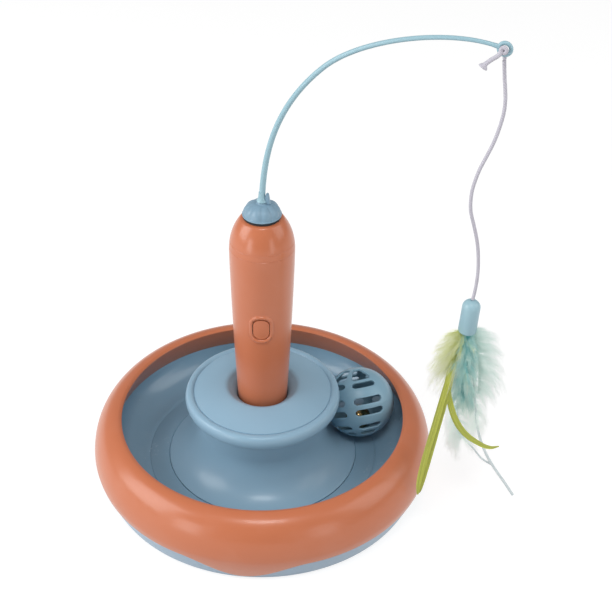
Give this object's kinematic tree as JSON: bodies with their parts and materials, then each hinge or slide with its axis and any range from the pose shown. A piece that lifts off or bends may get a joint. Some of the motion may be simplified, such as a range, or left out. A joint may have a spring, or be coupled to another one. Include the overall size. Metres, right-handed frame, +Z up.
{
  "type": "rotating feather cat toy",
  "caption": "Battery cat toy: a ring-shaped ball track with a slotted bell ball and a lift-out handle whose spinner cap turns an arched wand with a feather lure on a string.",
  "frame": {"origin": "centre of the base's flat underside, on the axis of the ring and the handle", "axes": "+Z up along the handle, -Y towards the power button and the viewer, +X towards the side that the wand reaches over"},
  "size_m": [0.2945, 0.2416, 0.3539],
  "materials": {
    "orange_plastic": "semi-gloss moulded plastic",
    "blue_plastic": "semi-gloss moulded plastic",
    "deep_blue_plastic": "semi-gloss moulded plastic",
    "pale_blue_plastic": "semi-gloss moulded plastic",
    "white_plastic": "natural moulded plastic",
    "switch_plastic": "dark moulded plastic",
    "board": "green board",
    "foot_rubber": "soft rubber",
    "steel": "plated steel",
    "brass": "plain brass",
    "bell_brass": "golden plated bell",
    "cell_sleeve": "printed sleeve, unmarked",
    "string": "braided string",
    "green_vane": "dyed feather",
    "green_down": "dyed down",
    "teal_down": "dyed down",
    "pale_vane": "dyed feather"
  },
  "bodies": {
    "base": {"bottom_shell": "pale_blue_plastic", "outer_ring": "orange_plastic", "track_tray": "deep_blue_plastic", "pedestal": "blue_plastic", "pedestal_top": "blue_plastic", "rubber_foot_1": "foot_rubber", "rubber_foot_2": "foot_rubber", "rubber_foot_3": "foot_rubber", "rubber_foot_4": "foot_rubber", "base_screw_1": "steel", "base_screw_2": "steel", "base_screw_3": "steel", "base_screw_4": "steel"},
    "bell": {"ball_bell": "bell_brass", "bell_pea": "steel"},
    "ball": {"ball_half_upper": "blue_plastic", "ball_half_lower": "blue_plastic"},
    "handle": {"handle_barrel": "orange_plastic", "handle_dome": "orange_plastic", "battery_bulkhead": "white_plastic", "circuit_board": "board", "push_switch": "switch_plastic", "battery_up": "cell_sleeve", "battery_down": "cell_sleeve", "contact_spring_lower": "steel", "contact_spring_upper": "steel", "contact_plate_lower": "steel", "contact_plate_left": "steel", "contact_plate_right": "steel", "motor_can": "steel", "gear_plate_lower": "white_plastic", "gear_plate_upper": "white_plastic", "gear_pin_1": "steel", "gear_pin_2": "steel", "gear_screw_1": "steel", "gear_screw_2": "steel", "spindle_bush": "brass"},
    "cell_door": {"battery_cap": "orange_plastic"},
    "button": {"power_button": "orange_plastic"},
    "rotor": {"motor_pinion": "brass"},
    "first_gear": {"compound_gear_lower": "white_plastic"},
    "second_gear": {"compound_gear_upper": "white_plastic"},
    "spinner": {"output_gear": "white_plastic", "spindle": "steel", "spinner_cap": "blue_plastic", "wand_rod": "pale_blue_plastic"},
    "knot": {"string_knot": "string"},
    "lure": {"lure_string": "string", "ferrule": "pale_blue_plastic", "teal_down": "teal_down", "green_down": "green_down", "pale_down": "pale_vane", "green_feather_left": "green_vane", "green_feather_right": "green_vane", "curved_feather": "green_vane", "quill_feather": "pale_vane", "side_quill": "pale_vane"}
  },
  "joints": [
    {"name": "ball_orbit", "type": "hinge", "parent": "base", "child": "bell", "pos_m": [0, 0, 0.0394], "axis": [0, 0, 1], "continuous": true},
    {"name": "ball_roll", "type": "hinge", "parent": "bell", "child": "ball", "pos_m": [0.07088, 0.02126, 0.0394], "axis": [0.9578, 0.2874, 0], "continuous": true},
    {"name": "handle_lift", "type": "slide", "parent": "base", "child": "handle", "axis": [0, 0, 1], "range_m": [0, 0.045]},
    {"name": "cell_door_twist", "type": "hinge", "parent": "handle", "child": "cell_door", "pos_m": [0, 0, 0.036], "axis": [0, 0, -1], "range_deg": [0, 30]},
    {"name": "button_press", "type": "slide", "parent": "handle", "child": "button", "axis": [0.0401, 0.9992, 0], "range_m": [0, 0.0006], "stiffness_N_per_m": 900},
    {"name": "wand_spin", "type": "hinge", "parent": "handle", "child": "spinner", "pos_m": [0, 0, 0.2], "axis": [0, 0, 1], "continuous": true},
    {"name": "second_gear_spin", "type": "hinge", "parent": "handle", "child": "second_gear", "pos_m": [0.009, 0, 0.176], "axis": [0, 0, 1], "continuous": true},
    {"name": "first_gear_spin", "type": "hinge", "parent": "handle", "child": "first_gear", "pos_m": [0, 0, 0.172], "axis": [0, 0, 1], "continuous": true},
    {"name": "rotor_spin", "type": "hinge", "parent": "handle", "child": "rotor", "pos_m": [-0.009, 0, 0.171], "axis": [0, 0, 1], "continuous": true},
    {"name": "lure_swing", "type": "hinge", "parent": "spinner", "child": "knot", "pos_m": [0.13222, -0.05342, 0.3493], "axis": [-0.3746, -0.9272, 0], "range_deg": [0, 60]},
    {"name": "lure_sway", "type": "hinge", "parent": "knot", "child": "lure", "pos_m": [0.1331, -0.051, 0.34195], "axis": [0.9272, -0.3746, 0], "range_deg": [-40, 40]}
  ],
  "couplings": [
    {"joint": "ball_roll", "follows": "ball_orbit", "ratio": -2.902},
    {"joint": "second_gear_spin", "follows": "wand_spin", "ratio": -3.5},
    {"joint": "first_gear_spin", "follows": "wand_spin", "ratio": 12.25},
    {"joint": "rotor_spin", "follows": "wand_spin", "ratio": -42.875}
  ]
}
